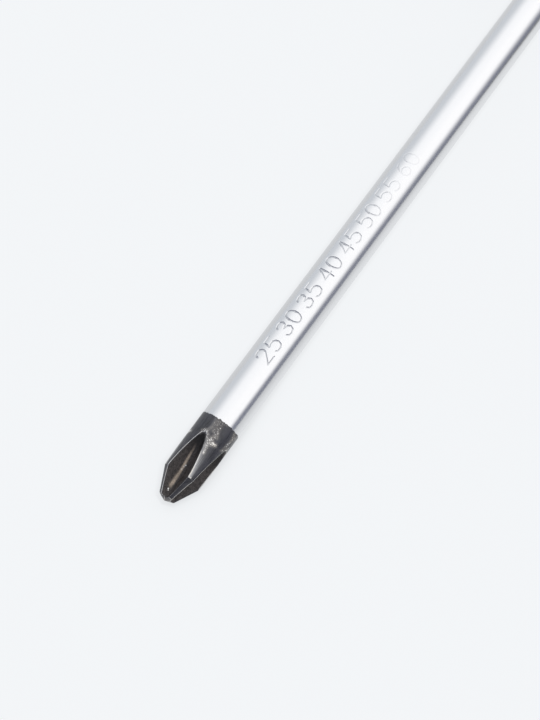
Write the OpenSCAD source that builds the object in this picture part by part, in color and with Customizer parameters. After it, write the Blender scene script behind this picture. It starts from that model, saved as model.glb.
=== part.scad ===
// Cross-head screwdriver with a through tang, a hexagon bolster, a turned wooden handle and a leather striking cap.
// Millimetres, +Z up. The tool lies along X: the tip points to -X and the butt to +X.
// The origin is on the axis, at the shoulder of the blade where the bolster starts.
// Every module is drawn standing on Z, with the butt upwards, and laid along X by the module laid.

/* [Blade] */
// Diameter of the round shank
shank_d = 6; // [4:0.1:9]
// Free length of the shank, from the front of the bolster to the end of the tip
blade_len = 100; // [60:1:250]
// Length of the tip that carries the black finish
black_len = 13; // [8:0.5:30]
// Height of the shoulder that the bolster is driven against
shoulder_h = 0.25; // [0.1:0.05:0.6]
// Height of the step between the hexagon tang and its round end
tang_step_h = 0.2; // [0.1:0.05:0.6]

/* [Cross tip] */
// Diameter of the blunt end of the tip
point_d = 2.5; // [0.8:0.05:5.1]
// Angle between the axis and the tapered edges of the wings
taper_angle = 26.5; // [20:0.5:35]
// Slope of the blunt end, from a plane square to the axis
point_slope = 22.5; // [5:0.5:40]
// Angle between the two flanks of a flute
flute_angle = 91.5; // [80:0.5:110]
// Width of the flat floor of a flute
flute_floor_w = 0.76; // [0.1:0.02:1.2]
// Distance from the axis to the floor of a flute, where the floor is deepest
flute_core_r = 0.82; // [0.3:0.02:1.2]
// Radius of the wheel that cuts a flute
flute_wheel_r = 24.4; // [10:0.1:60]
// Distance from the end of the tip to the place where the floor is deepest
flute_wheel_at = 0.35; // [0:0.05:3]
// Turn of the flutes about the axis
tip_roll = -11; // [-45:1:45]

/* [Bolster] */
// Width across the flats of the hexagon bolster
bolster_af = 10; // [8:0.5:16]
// Length of the hexagon bolster
bolster_len = 8; // [5:0.5:20]
// Angle of the chamfer at both ends of the bolster
bolster_chamfer = 30; // [15:1:45]

/* [Ferrule] */
// Length of the ferrule
ferrule_len = 14; // [10:0.5:25]
// Diameter of the ferrule at the bolster
ferrule_front_d = 17.5; // [14:0.1:22]
// Diameter of the ferrule at the wood
ferrule_rear_d = 20.8; // [17:0.1:26]
// Thickness of the ferrule's wall
ferrule_wall = 1.1; // [0.6:0.1:2]
// Radius of the ferrule's front edge
ferrule_edge_r = 1.6; // [0.5:0.1:3]
// Radius of the rolled bead round the ferrule's rear rim
ferrule_bead_r = 0.6; // [0.4:0.1:1.5]
// Diameter of the pin through ferrule, wood and tang
pin_d = 2; // [1:0.1:3]
// Distance from the front of the ferrule to the pin
pin_at = 6.5; // [4:0.5:10]

/* [Handle] */
// Length of the wood behind the ferrule
handle_len = 88; // [70:1:130]
// Diameter of the finger stop next to the ferrule
stop_d = 22.4; // [21.5:0.1:32]
// Distance from the ferrule to the crown of the finger stop
stop_at = 6.8; // [4:0.2:12]
// Diameter of the waist
waist_d = 20.4; // [17:0.1:22]
// Distance from the ferrule to the waist
waist_at = 25; // [18:0.5:40]
// Diameter of the belly
belly_d = 31.6; // [28:0.1:42]
// Distance from the ferrule to the belly
belly_at = 61.5; // [50:0.5:68]
// Diameter of the wood at the butt
butt_d = 26.8; // [22:0.1:40]
// Radius of the edge at the butt
butt_edge_r = 1.5; // [0.5:0.1:3]
// Number of grip flutes
grip_flutes = 6; // [4:1:10]
// Depth of a grip flute at the belly
grip_flute_depth = 1.75; // [0.5:0.05:3]
// Radius of the cutter that makes a grip flute
grip_cutter_r = 8.2; // [4:0.1:15]

/* [Striking cap] */
// Diameter of the steel backing plate
plate_d = 25; // [20:0.1:38]
// Thickness of the steel backing plate
plate_t = 1.5; // [0.8:0.1:4]
// Diameter of the leather discs
leather_d = 26.2; // [20:0.1:38]
// Thickness of the inner and the middle leather disc
leather_t = 3.1; // [1.5:0.1:6]
// Thickness of leather left under the rove in the outer disc
leather_web = 0.9; // [0.5:0.1:3]
// Radius of the leather discs' edges
leather_edge_r = 0.7; // [0.2:0.1:1.2]
// Diameter of the rove, the washer that the tang is riveted over
rove_d = 13; // [9:0.1:18]
// Thickness of the rove
rove_t = 1.4; // [0.8:0.1:3]
// Diameter of the riveted head of the tang
head_d = 8.4; // [6:0.1:9]
// Height of the riveted head
head_h = 1.3; // [0.6:0.1:3]
// Depth of the riveted head's crown below the face of the leather
head_sink_h = 0.25; // [0.1:0.05:1]

/* [Fits] */
// Clearance on each side between steel and steel
steel_gap = 0.02; // [0.01:0.01:0.1]
// Clearance on each side between wood or leather and steel
wood_gap = 0.05; // [0.02:0.01:0.15]

/* [Hidden] */
$fn = 96;
// Size that is larger than the whole tool's width, for cutters
beyond = 4 * belly_d;

// Blade and tang
shank_r = shank_d / 2;
seat_r = shank_r - shoulder_h;
point_r = point_d / 2;
point_len = point_r * tan(point_slope);
taper_len = (shank_r - point_r) / tan(taper_angle);
tip_z = -blade_len;
taper_end_z = tip_z + point_len + taper_len;
black_end_z = tip_z + black_len;
tang_end_r = seat_r * cos(30) - tang_step_h;
head_r = head_d / 2;
head_ball_r = (head_r * head_r + head_h * head_h) / (2 * head_h);

// Stations along the axis, from the bolster to the butt
ferrule_z = bolster_len;
wood_z = ferrule_z + ferrule_len;
plate_z = wood_z + handle_len;
inner_z = plate_z + plate_t;
middle_z = inner_z + leather_t;
outer_z = middle_z + leather_t;
rove_z = outer_z + leather_web;
head_z = rove_z + rove_t;
outer_t = leather_web + rove_t + head_h + head_sink_h;
pin_z = ferrule_z + pin_at;

// Ferrule and the wooden nose inside it
ferrule_front_r = ferrule_front_d / 2;
ferrule_rear_r = ferrule_rear_d / 2;
ferrule_in_z = ferrule_z + ferrule_wall;
// Radius of the ferrule's tapered outside at a height
function ferrule_r(z) = ferrule_front_r + (ferrule_rear_r - ferrule_front_r) * (z - ferrule_z) / ferrule_len;
pin_len = 2 * (ferrule_r(pin_z - pin_d / 2));

// Handle outline: five arcs that meet with no corner
stop_r = stop_d / 2;
waist_r = waist_d / 2;
belly_r = belly_d / 2;
butt_r = butt_d / 2;
// Radius of the arc that falls by drop at a distance from its crown
function arc_through(distance, drop) = (distance * distance + drop * drop) / (2 * drop);
// Fall of an arc of radius r at a distance from its crown
function arc_fall(r, distance) = r - sqrt(r * r - distance * distance);
// Fall from a crown to a hollow, along two arcs of one radius that meet half way
function swell_fall(distance, span, drop) =
    distance < span / 2
        ? arc_fall(arc_through(span, drop) / 2, distance)
        : drop - arc_fall(arc_through(span, drop) / 2, span - distance);
// Radius of the handle at a distance from the ferrule
function handle_r(s) =
    s < stop_at ? stop_r - arc_fall(arc_through(stop_at, stop_r - ferrule_rear_r), stop_at - s)
    : s < waist_at ? stop_r - swell_fall(s - stop_at, waist_at - stop_at, stop_r - waist_r)
    : s < belly_at ? belly_r - swell_fall(belly_at - s, belly_at - waist_at, belly_r - waist_r)
    : belly_r - arc_fall(arc_through(handle_len - belly_at, belly_r - butt_r), s - belly_at);
outline_steps = 44;
outline_end = handle_len - butt_edge_r;
grip_cutter_at = belly_r - grip_flute_depth + grip_cutter_r;

// Points of an arc round a centre, from one angle to another
function arc_points(centre, r, from, to, steps = 8) =
    [for (i = [0:steps]) centre + r * [cos(from + (to - from) * i / steps), sin(from + (to - from) * i / steps)]];

// Lays a piece that stands on Z along X, with its butt end towards +X
module laid() {
    rotate([0, 90, 0])
        children();
}

// A ring that stands on z, between two radii
module ring(z, inner, outer, height) {
    translate([0, 0, z])
        rotate_extrude()
            translate([inner, 0])
                square([outer - inner, height]);
}

// The hole for the cross pin, through everything
module pin_hole() {
    translate([0, 0, pin_z])
        rotate([90, 0, 0])
            cylinder(r = pin_d / 2 + steel_gap, h = beyond, center = true);
}

// One flute of the tip, as the wheel that cuts it
module flute_wheel() {
    depth = shank_d;
    half = flute_floor_w / 2;
    flank = half + depth * tan(flute_angle / 2);
    translate([flute_core_r + flute_wheel_r, 0, tip_z + flute_wheel_at])
        rotate([90, 0, 0])
            rotate_extrude()
                polygon([
                    [flute_wheel_r, -half],
                    [flute_wheel_r, half],
                    [flute_wheel_r - depth, flank],
                    [flute_wheel_r - depth, -flank]
                ]);
}

// Blade: tip, shank and through tang are one forged rod
module blade() {
    laid()
        difference() {
            union() {
                color([0.16, 0.17, 0.19])
                    rotate_extrude()
                        polygon([
                            [0, tip_z],
                            [point_r, tip_z + point_len],
                            [shank_r, taper_end_z],
                            [shank_r, black_end_z],
                            [0, black_end_z]
                        ]);
                color([0.82, 0.84, 0.86])
                    translate([0, 0, black_end_z])
                        cylinder(r = shank_r, h = -black_end_z);
                color([0.62, 0.63, 0.65]) {
                    cylinder(r = seat_r, h = ferrule_in_z);
                    translate([0, 0, ferrule_in_z])
                        cylinder(r = seat_r, h = plate_z - ferrule_in_z, $fn = 6);
                    translate([0, 0, plate_z])
                        cylinder(r = tang_end_r, h = head_z - plate_z);
                    intersection() {
                        translate([0, 0, head_z + head_h - head_ball_r])
                            sphere(r = head_ball_r);
                        translate([0, 0, head_z])
                            cylinder(r = head_d, h = 2 * head_h);
                    }
                }
            }
            for (k = [0:3])
                rotate([0, 0, tip_roll + 90 * k])
                    flute_wheel();
            pin_hole();
        }
}

// Hexagon bolster, pressed on against the shoulder, so a spanner can help to turn the tool
module hex_bolster() {
    corner_r = bolster_af / 2 / cos(30);
    cut = (corner_r - bolster_af / 2) * tan(bolster_chamfer);
    color([0.80, 0.82, 0.84])
        laid()
            difference() {
                intersection() {
                    cylinder(r = corner_r, h = bolster_len, $fn = 6);
                    rotate_extrude()
                        polygon([
                            [0, 0],
                            [bolster_af / 2, 0],
                            [corner_r, cut],
                            [corner_r, bolster_len - cut],
                            [bolster_af / 2, bolster_len],
                            [0, bolster_len]
                        ]);
                }
                translate([0, 0, -bolster_len])
                    cylinder(r = seat_r + steel_gap, h = 3 * bolster_len);
            }
}

// Ferrule: a drawn steel cup with a rolled rear rim, over the nose of the wood
module ferrule() {
    edge = [ferrule_front_r - ferrule_edge_r, ferrule_z + ferrule_edge_r];
    rim_z = wood_z - ferrule_bead_r;
    color([0.74, 0.74, 0.72])
        laid()
            difference() {
                union() {
                    rotate_extrude()
                        polygon(concat(
                            [[0, ferrule_z]],
                            arc_points(edge, ferrule_edge_r, -90, 0),
                            [[ferrule_r(wood_z), wood_z], [0, wood_z]]
                        ));
                    rotate_extrude()
                        translate([ferrule_r(rim_z), rim_z])
                            circle(r = ferrule_bead_r);
                }
                rotate_extrude()
                    polygon([
                        [0, ferrule_in_z],
                        [ferrule_r(ferrule_in_z) - ferrule_wall, ferrule_in_z],
                        [ferrule_r(wood_z) - ferrule_wall, wood_z],
                        [ferrule_r(wood_z) - ferrule_wall, wood_z + ferrule_len],
                        [0, wood_z + ferrule_len]
                    ]);
                cylinder(r = seat_r + steel_gap, h = wood_z);
                pin_hole();
            }
}

// Pin across the ferrule, which keeps ferrule, wood and tang together
module ferrule_pin() {
    color([0.66, 0.66, 0.66])
        laid()
            translate([0, 0, pin_z])
                rotate([90, 0, 0])
                    cylinder(r = pin_d / 2, h = pin_len, center = true);
}

// Handle: turned wood with a nose for the ferrule, grip flutes and a hexagon hole for the tang
module handle() {
    nose_z = ferrule_in_z + wood_gap;
    nose_in = ferrule_wall + wood_gap;
    color([0.62, 0.36, 0.17])
        laid()
            difference() {
                rotate_extrude()
                    polygon(concat(
                        [[0, nose_z], [ferrule_r(nose_z) - nose_in, nose_z], [ferrule_r(wood_z) - nose_in, wood_z]],
                        [for (i = [0:outline_steps]) let (s = outline_end * i / outline_steps) [handle_r(s), wood_z + s]],
                        arc_points([handle_r(outline_end) - butt_edge_r, plate_z - butt_edge_r], butt_edge_r, 0, 90),
                        [[0, plate_z]]
                    ));
                for (k = [0:grip_flutes - 1])
                    rotate([0, 0, 360 / grip_flutes * k])
                        translate([grip_cutter_at, 0, wood_z])
                            cylinder(r = grip_cutter_r, h = handle_len + beyond);
                translate([0, 0, ferrule_z])
                    cylinder(r = seat_r + wood_gap / cos(30), h = plate_z, $fn = 6);
                pin_hole();
            }
}

// Steel plate between the wood and the leather
module backing_plate() {
    color([0.58, 0.58, 0.58])
        laid()
            ring(plate_z, tang_end_r + steel_gap, plate_d / 2, plate_t);
}

// Outline of a leather disc with round outer edges, and its hole
module leather_disc(z, height) {
    hole_r = tang_end_r + wood_gap;
    edge_at = leather_d / 2 - leather_edge_r;
    translate([0, 0, z])
        rotate_extrude()
            polygon(concat(
                [[hole_r, 0]],
                arc_points([edge_at, leather_edge_r], leather_edge_r, -90, 0, 6),
                arc_points([edge_at, height - leather_edge_r], leather_edge_r, 0, 90, 6),
                [[hole_r, height]]
            ));
}

// Leather disc against the backing plate
module leather_disc_inner() {
    color([0.55, 0.35, 0.20])
        laid()
            leather_disc(inner_z, leather_t);
}

// Leather disc in the middle of the cap
module leather_disc_middle() {
    color([0.60, 0.39, 0.23])
        laid()
            leather_disc(middle_z, leather_t);
}

// Outer leather disc, with a seat for the rove
module leather_disc_outer() {
    color([0.52, 0.32, 0.18])
        laid()
            difference() {
                leather_disc(outer_z, outer_t);
                translate([0, 0, rove_z])
                    cylinder(r = rove_d / 2 + wood_gap, h = outer_t);
            }
}

// Rove: the washer in the outer disc that the tang is riveted over
module rove() {
    color([0.70, 0.70, 0.70])
        laid()
            ring(rove_z, tang_end_r + steel_gap, rove_d / 2, rove_t);
}

blade();
hex_bolster();
ferrule();
ferrule_pin();
handle();
backing_plate();
leather_disc_inner();
leather_disc_middle();
leather_disc_outer();
rove();
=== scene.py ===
import functools
import math
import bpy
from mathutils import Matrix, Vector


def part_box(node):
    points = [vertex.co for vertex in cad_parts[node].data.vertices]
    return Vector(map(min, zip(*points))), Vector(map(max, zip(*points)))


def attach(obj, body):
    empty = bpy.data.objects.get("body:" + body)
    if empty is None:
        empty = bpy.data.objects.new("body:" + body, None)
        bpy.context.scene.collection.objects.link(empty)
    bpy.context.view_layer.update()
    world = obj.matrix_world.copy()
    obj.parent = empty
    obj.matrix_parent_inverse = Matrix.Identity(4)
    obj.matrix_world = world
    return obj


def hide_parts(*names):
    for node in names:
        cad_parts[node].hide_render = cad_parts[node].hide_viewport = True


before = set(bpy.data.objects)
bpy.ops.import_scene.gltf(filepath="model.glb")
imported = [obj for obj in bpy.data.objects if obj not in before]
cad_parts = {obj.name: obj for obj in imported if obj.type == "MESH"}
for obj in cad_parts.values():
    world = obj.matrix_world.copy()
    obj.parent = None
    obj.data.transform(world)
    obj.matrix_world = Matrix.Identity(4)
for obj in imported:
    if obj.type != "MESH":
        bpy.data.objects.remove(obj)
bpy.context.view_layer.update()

from types import SimpleNamespace

import bmesh
import bpy
import numpy as np
from bpy.props import FloatProperty, FloatVectorProperty, IntProperty, PointerProperty

bl_info = {
    "name": "Cross-head screwdriver",
    "version": (1, 0, 0),
    "blender": (4, 5, 0),
    "location": "3D View > Sidebar > Screwdriver",
    "description": "Dresses the packed screwdriver with finished surfaces and materials",
    "category": "Object",
}

MM = 0.001
# Room round a pressed and a sliding piece, in millimetres.
PRESS_FIT = 0.02
SLIDE_FIT = 0.05


def span(node, axis=0):
    """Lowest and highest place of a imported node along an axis, in millimetres."""
    low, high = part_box(node)
    return low[axis] / MM, high[axis] / MM


TIP_X = span("blade")[0]
CROWN_X = span("blade")[1]
BOLSTER_X = span("hex_bolster")
FERRULE_X = span("ferrule")
HANDLE_X = span("handle")
PLATE_X = span("backing_plate")
INNER_X = span("leather_disc_inner")
MIDDLE_X = span("leather_disc_middle")
OUTER_X = span("leather_disc_outer")
ROVE_X = span("rove")
ROVE_R = span("rove", 1)[1]
PLATE_R = span("backing_plate", 1)[1]
LEATHER_R = span("leather_disc_inner", 1)[1]
PIN_X = sum(span("ferrule_pin")) / 2
PIN_REACH = span("ferrule_pin", 1)[1]


def length(name, words, default):
    """A size for the sidebar, written here in millimetres and kept in metres."""
    return FloatProperty(name=name, description=words, default=default * MM, unit="LENGTH", precision=5)


def angle(name, words, default):
    """An angle for the sidebar, written here in degrees and kept in radians."""
    radians = math.radians(default)
    return FloatProperty(name=name, description=words, default=radians, subtype="ANGLE", precision=2)


def tint(name, words, default):
    """A colour, as a property of the sidebar."""
    return FloatVectorProperty(
        name=name, description=words, default=default, subtype="COLOR", size=3, min=0.0, max=1.0
    )


class BladeSettings(bpy.types.PropertyGroup):
    """Sizes and colours of the blade."""

    shank_r: length("Shank radius", "Radius of the round shank", 3.0)
    seat_r: length("Seat radius", "Radius of the rod inside the bolster", 2.75)
    rivet_r: length("Tang end radius", "Radius of the round end of the tang", 2.1816)
    head_r: length("Head radius", "Radius of the riveted head", 4.2)
    head_h: length("Head height", "Height of the riveted head", 1.3)
    point_r: length("Point radius", "Radius of the blunt end of the tip", 1.25)
    point_slope: angle("Point slope", "Slope of the blunt end", 22.5)
    taper: angle("Wing taper", "Angle from the axis to the tapered edges", 26.5)
    flank: angle("Flute angle", "Angle between the flanks of a flute", 91.5)
    floor_half: length("Flute floor", "Half the width of a flute's floor", 0.38)
    core_r: length("Flute core", "Distance from the axis to the deepest floor", 0.82)
    wheel_r: length("Flute wheel", "Radius of the wheel that cuts a flute", 24.4)
    wheel_at: length("Flute wheel place", "Distance of the deepest floor from the tip", 0.35)
    roll: angle("Tip turn", "Turn of the flutes about the axis", -11.0)
    black_len: length("Black length", "Length of the black finish", 13.0)
    mark_from: IntProperty(name="First number", description="First depth number, mm from the tip", default=25)
    mark_step: IntProperty(name="Number step", description="Step between depth numbers", default=5)
    mark_count: IntProperty(name="Numbers", description="How many depth numbers there are", default=8)
    mark_at: angle("Number place", "Turn of the numbers' foot about the axis", 197.5)
    mark_depth: length("Number depth", "Depth of the engraving", 0.08)
    mark_w: length("Stroke width", "Half the width of an engraved stroke", 0.11)
    digit_h: length("Number height", "Height of a digit", 2.45)
    chrome: tint("Chrome", "Colour of the plated shank", (0.805, 0.805, 0.812))
    black: tint("Black", "Colour of the black finish", (0.050, 0.050, 0.059))
    # Painted shade: a near-black colour that darkens the far, narrow end of each flute, and a little the
    # tapered faces.
    grime: tint("Grime", "Colour of the dirt at the far end of the flutes", (0.006, 0.006, 0.006))
    soot: tint("Flute black", "Colour of the black finish inside the flutes", (0.066, 0.057, 0.053))
    rust: tint("Flute floor", "Colour of the rubbed floor of the flutes", (0.545, 0.445, 0.345))
    haze: tint("Scuffed black", "Colour of the black finish where it is rubbed thin", (0.200, 0.187, 0.178))
    engraving: tint("Engraving", "Colour at the bottom of the numbers", (0.30, 0.31, 0.34))
    bare: tint("Bare steel", "Colour of the worn edges", (0.86, 0.855, 0.84))


class HandleSettings(bpy.types.PropertyGroup):
    """Sizes and colours of the bolster, ferrule and handle."""

    flat_half: length("Bolster half width", "Half the width across the bolster's flats", 5.0)
    bolster_bore: length("Bolster bore", "Radius of the hole in bolster and ferrule", 2.77)
    ferrule_front: length("Ferrule front", "Radius of the ferrule at the bolster", 8.75)
    ferrule_rear: length("Ferrule rear", "Radius of the ferrule at the wood", 10.4)
    ferrule_wall: length("Ferrule wall", "Thickness of the ferrule", 1.1)
    ferrule_edge: length("Ferrule edge", "Radius of the ferrule's front edge", 1.6)
    ferrule_bead: length("Ferrule bead", "Radius of the ferrule's rolled rim", 0.6)
    pin_r: length("Pin radius", "Radius of the cross pin", 1.0)
    stop_r: length("Finger stop", "Radius of the finger stop", 11.2)
    stop_at: length("Finger stop place", "Distance from the ferrule to the finger stop", 6.8)
    waist_r: length("Waist", "Radius of the waist", 10.2)
    waist_at: length("Waist place", "Distance from the ferrule to the waist", 25.0)
    belly_r: length("Belly", "Radius of the belly", 15.78)
    belly_at: length("Belly place", "Distance from the ferrule to the belly", 61.5)
    butt_r: length("Butt", "Radius of the wood at the butt", 13.4)
    butt_edge: length("Butt edge", "Radius of the edge at the butt", 1.5)
    flutes: IntProperty(name="Grip flutes", description="Number of grip flutes", default=6)
    flute_depth: length("Grip flute depth", "Depth of a grip flute at the belly", 1.75)
    cutter_r: length("Grip cutter", "Radius of the cutter of a grip flute", 8.2)
    tang_hole: length("Tang hole", "Radius of the wood's hexagon hole over its corners", 2.808)
    plated: tint("Bolster plate", "Colour of the plated bolster", (0.78, 0.80, 0.83))
    plated_worn: tint("Worn plate", "Colour of the bolster's worn corners", (0.90, 0.90, 0.90))
    nickel: tint("Ferrule nickel", "Colour of the ferrule", (0.70, 0.66, 0.60))
    wood_pale: tint("Pale wood", "Colour of the early wood", (0.42, 0.182, 0.055))
    wood_dark: tint("Dark wood", "Colour of the late wood", (0.175, 0.060, 0.017))


class CapSettings(bpy.types.PropertyGroup):
    """Colours of the striking cap."""

    steel: tint("Steel", "Colour of plate, rove and pin", (0.55, 0.55, 0.55))
    hide: tint("Leather", "Colour of the leather's grain side", (0.255, 0.112, 0.042))
    cut: tint("Cut leather", "Colour of the leather's cut edge", (0.38, 0.200, 0.088))


class StageSettings(bpy.types.PropertyGroup):
    """Place of the camera, lie of the floor and level of the light."""

    place: FloatVectorProperty(
        name="Camera place", description="Place of the camera", subtype="TRANSLATION",
        default=(-0.133880, -0.041126, 0.197186), precision=6,
    )
    elevation: angle("Camera elevation", "Height of the camera above the horizon", 70.05)
    azimuth: angle("Camera azimuth", "Turn of the camera about the upright", -55.04)
    lens: FloatProperty(name="Lens", description="Focal length", default=75.0, subtype="DISTANCE_CAMERA")
    lean: angle("Floor lean", "Lean of the floor on which tip and belly both rest", 4.0185)
    rest_at: length("Resting place", "Distance from the end to where the tip rests on the floor", 4.13)
    rest_r: length("Resting height", "Height of the axis above the floor at that place", 2.73)
    ground: tint("Floor", "Colour of the floor", (0.896, 0.914, 0.931))
    wash: FloatProperty(
        name="Floor wash", description="How far the floor's shadows are washed out", default=0.90,
        subtype="FACTOR", min=0.0, max=1.0,
    )


def values_of(group):
    """The values of a settings group by name, with sizes in millimetres and angles in degrees."""
    values = {}
    for name in group.__annotations__:
        value, kind = getattr(group, name), group.bl_rna.properties[name]
        if kind.type == "FLOAT" and kind.is_array:
            value = tuple(value)
        elif kind.unit == "LENGTH":
            value = value / MM
        elif kind.unit == "ROTATION":
            value = math.degrees(value)
        values[name] = value
    return SimpleNamespace(**values)


def smooth_min(a, b, k):
    """The smaller of a and b, with the corner between them rounded over a height k."""
    h = np.maximum(k - np.abs(a - b), 0.0) / k
    return np.minimum(a, b) - h * h * k / 4.0


def smooth_step(t):
    """Rises from 0 to 1 without a corner while t goes from 0 to 1."""
    t = np.clip(t, 0.0, 1.0)
    return t * t * (3.0 - 2.0 * t)


def around(x, r, turn):
    """Points at x along the axis and radius r, turned about X by an angle in degrees from straight down."""
    a = np.radians(turn)
    x, r, a = np.broadcast_arrays(x, r, a)
    return np.stack([x, r * np.sin(a), -r * np.cos(a)], axis=-1) * MM


def hexagon(corner_r, turn):
    """Radius of a hexagon at each turn in degrees, from its radius over the corners."""
    return corner_r * math.cos(math.radians(30.0)) / np.cos(np.radians(np.mod(turn, 60.0) - 30.0))


def spread(*shares):
    """A row of turns in degrees, from shares that each have a start, an end and a count."""
    turns = [np.linspace(start, end, count, endpoint=False) for start, end, count in shares]
    return np.concatenate(turns)[None, :]


def skin(name, points, ring=False, fields=None):
    """A smooth mesh over a grid of points. Rows follow the piece and columns go round it and close.

    ring also joins the last row to the first. A row that has shrunk to one point is welded into a pole.
    """
    rows, cols = points.shape[:2]
    index = np.arange(rows * cols).reshape(rows, cols)
    here = index if ring else index[:-1]
    after = np.roll(index, -1, axis=0) if ring else index[1:]
    quads = np.stack([here, np.roll(here, -1, axis=1), np.roll(after, -1, axis=1), after], axis=-1)
    mesh = bpy.data.meshes.new(name)
    mesh.from_pydata(points.reshape(-1, 3).tolist(), [], quads.reshape(-1, 4).tolist())
    for field, values in (fields or {}).items():
        layer = mesh.attributes.new(field, "FLOAT", "POINT")
        layer.data.foreach_set("value", np.broadcast_to(values, (rows, cols)).astype(np.float32).ravel())
    shell = bmesh.new()
    shell.from_mesh(mesh)
    bmesh.ops.remove_doubles(shell, verts=shell.verts, dist=2e-7)
    shell.to_mesh(mesh)
    shell.free()
    mesh.polygons.foreach_set("use_smooth", np.ones(len(mesh.polygons), dtype=bool))
    mesh.update()
    piece = bpy.data.objects.new(name, mesh)
    bpy.context.scene.collection.objects.link(piece)
    return piece


def finish_piece(piece, material, node):
    """Gives a piece its material and its place in the frame."""
    piece.data.materials.append(material)
    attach(piece, "root")
    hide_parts(node)


def feed(tree, node, sockets):
    """Gives the sockets of a node numbers, colours or links."""
    for key, value in sockets.items():
        if isinstance(value, bpy.types.NodeSocket):
            tree.links.new(value, node.inputs[key])
        else:
            node.inputs[key].default_value = value


def add(tree, kind, sockets=None, **settings):
    """A shader node with its settings, whose sockets take numbers, colours or links."""
    node = tree.nodes.new(kind)
    for key, value in settings.items():
        setattr(node, key, value)
    feed(tree, node, sockets or {})
    return node


def calc(tree, operation, a, b=0.0, clamp=False):
    """The result of an operation on one or two values."""
    return add(tree, "ShaderNodeMath", {0: a, 1: b}, operation=operation, use_clamp=clamp).outputs[0]


def chain(operation):
    """A function that joins any number of values by one operation, from left to right."""
    def join(tree, *values):
        return functools.reduce(lambda a, b: calc(tree, operation, a, b), values)
    return join


times, plus, minus = chain("MULTIPLY"), chain("ADD"), chain("SUBTRACT")
over, most = chain("DIVIDE"), chain("MAXIMUM")


def between(tree, value, low, high, to_low=0.0, to_high=1.0):
    """Value carried from the range low to high, smoothly, to another range."""
    sockets = {"Value": value, 1: low, 2: high, 3: to_low, 4: to_high}
    return add(tree, "ShaderNodeMapRange", sockets, interpolation_type="SMOOTHSTEP").outputs[0]


def dim(colour, share):
    """A colour times a share."""
    return tuple(share * c for c in colour)


def blend(tree, factor, a, b):
    """Colour between a and b."""
    def full(c):
        return c if isinstance(c, bpy.types.NodeSocket) else (*c, 1.0)
    return add(tree, "ShaderNodeMix", {0: factor, 6: full(a), 7: full(b)}, data_type="RGBA").outputs[2]


def blend_value(tree, factor, a, b):
    """Number between a and b."""
    return add(tree, "ShaderNodeMix", {0: factor, 2: a, 3: b}, data_type="FLOAT").outputs[0]


def vector(tree, operation, sockets):
    """The result of an operation on vectors: at 0 as a vector and at 1 as a value."""
    return add(tree, "ShaderNodeVectorMath", sockets, operation=operation).outputs


def place_of(tree, stretch=(1.0, 1.0, 1.0), turn=(0.0, 0.0, 0.0), shift=(0.0, 0.0, 0.0)):
    """Object coordinates, stretched, turned and shifted."""
    coords = add(tree, "ShaderNodeTexCoord").outputs["Object"]
    sockets = {"Vector": coords, "Location": shift, "Rotation": turn, "Scale": stretch}
    return add(tree, "ShaderNodeMapping", sockets).outputs[0]


def grain(tree, coords, scale, detail=3.0, rough=0.55):
    """Fractal noise from 0 to 1."""
    sockets = {"Vector": coords, "Scale": scale, "Detail": detail, "Roughness": rough}
    return add(tree, "ShaderNodeTexNoise", sockets).outputs[0]


def field(tree, name):
    """A field that the mesh carries."""
    return add(tree, "ShaderNodeAttribute", attribute_name=name).outputs["Fac"]


def start_material(name):
    """An empty node material with its shader."""
    material = bpy.data.materials.new(name)
    material.use_nodes = True
    return material, material.node_tree, material.node_tree.nodes["Principled BSDF"]


def relief(tree, height, distance, strength=0.5):
    """Small relief of the surface, as a height times a distance in metres."""
    sockets = {"Height": height, "Distance": distance, "Strength": strength}
    return add(tree, "ShaderNodeBump", sockets).outputs[0]


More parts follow.
